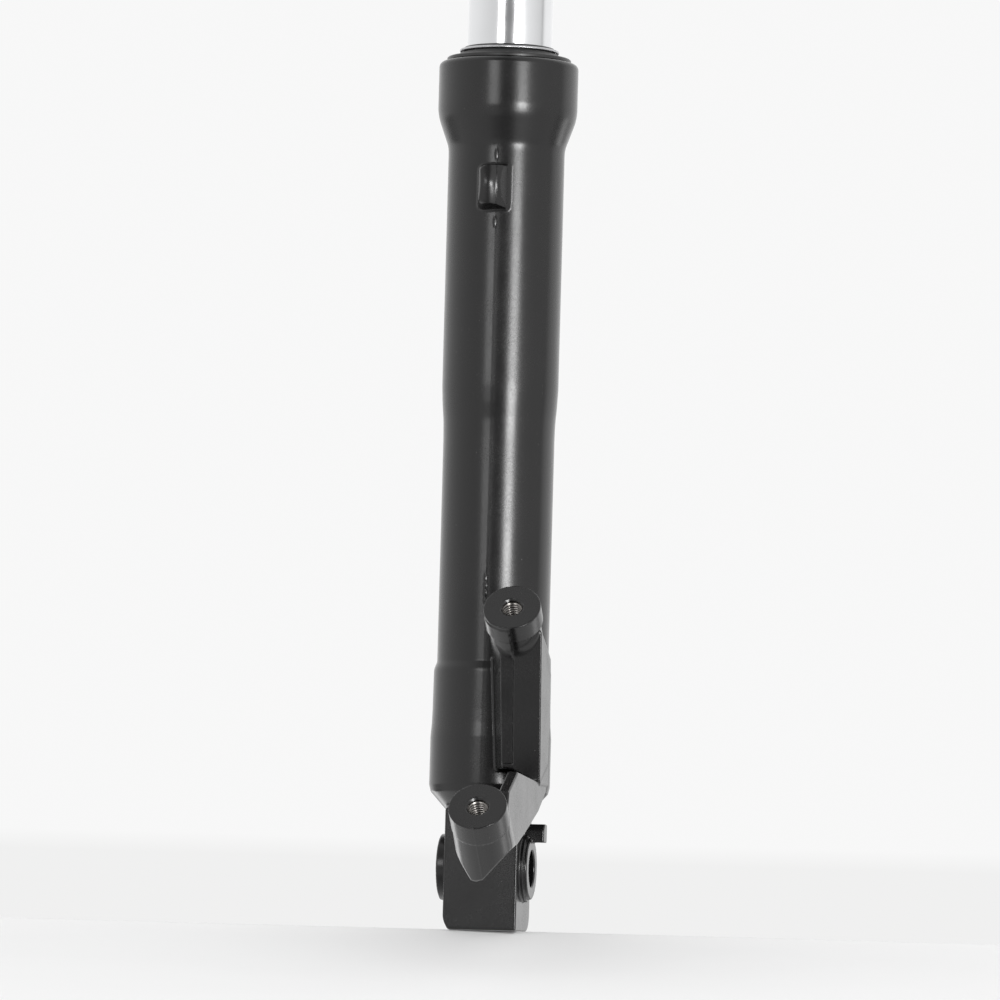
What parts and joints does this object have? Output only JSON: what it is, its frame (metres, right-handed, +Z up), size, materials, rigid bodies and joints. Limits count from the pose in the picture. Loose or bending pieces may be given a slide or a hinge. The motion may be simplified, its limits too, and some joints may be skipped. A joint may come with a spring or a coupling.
{
  "type": "suspension fork leg",
  "caption": "Left leg of a telescopic motorcycle fork: chromed stanchion sliding in a black cast slider with radial caliper bosses, axle lug, coil spring and damper inside.",
  "frame": {"origin": "on the stanchion axis at the middle of the yoke clamp, 600 mm above the foot", "axes": "+Z up along the leg, +X towards the wheel, +Y forwards; the caliper bosses point back and up"},
  "size_m": [0.054, 0.1489, 0.699],
  "materials": {
    "black_paint": "satin black powder coat with a fine orange peel",
    "chrome": "polished hard chrome",
    "steel": "machined steel",
    "spring_steel": "shot-peened spring steel",
    "aluminium": "turned aluminium",
    "rubber": "matt moulded rubber",
    "bronze": "sintered bearing bronze",
    "copper": "annealed copper",
    "nylon": "moulded nylon"
  },
  "bodies": {
    "upper_tube": {"stanchion": "chrome", "stanchion_bushing": "bronze", "top_cap": "aluminium", "top_cap_oring": "rubber", "spacer_tube": "aluminium", "valve_snap_ring": "steel"},
    "spring_pack": {"main_spring": "spring_steel", "spring_washer": "steel"},
    "lower_leg": {"slider": "black_paint", "slider_bushing": "bronze", "backup_ring": "steel", "oil_seal": "rubber", "oil_seal_spring": "steel", "seal_clip": "steel", "dust_seal": "rubber", "dust_seal_spring": "steel", "damper_rod": "aluminium", "piston_ring": "nylon", "top_out_spring": "spring_steel", "oil_lock_piece": "aluminium", "bottom_bolt": "steel", "sealing_washer": "copper"},
    "check_valve": {"check_valve": "steel"}
  },
  "joints": [
    {"name": "leg_swivel", "type": "hinge", "parent": "upper_tube", "child": "spring_pack", "pos_m": [0, 0, 0], "axis": [0, 0, 1], "continuous": true},
    {"name": "fork_travel", "type": "slide", "parent": "spring_pack", "child": "lower_leg", "axis": [0, 0, 1], "range_m": [0, 0.11], "stiffness_N_per_m": 9000, "springref_m": -0.015, "deforming": ["main_spring"]},
    {"name": "valve_float", "type": "slide", "parent": "upper_tube", "child": "check_valve", "axis": [0, 0, 1], "range_m": [0, 0.001]}
  ]
}
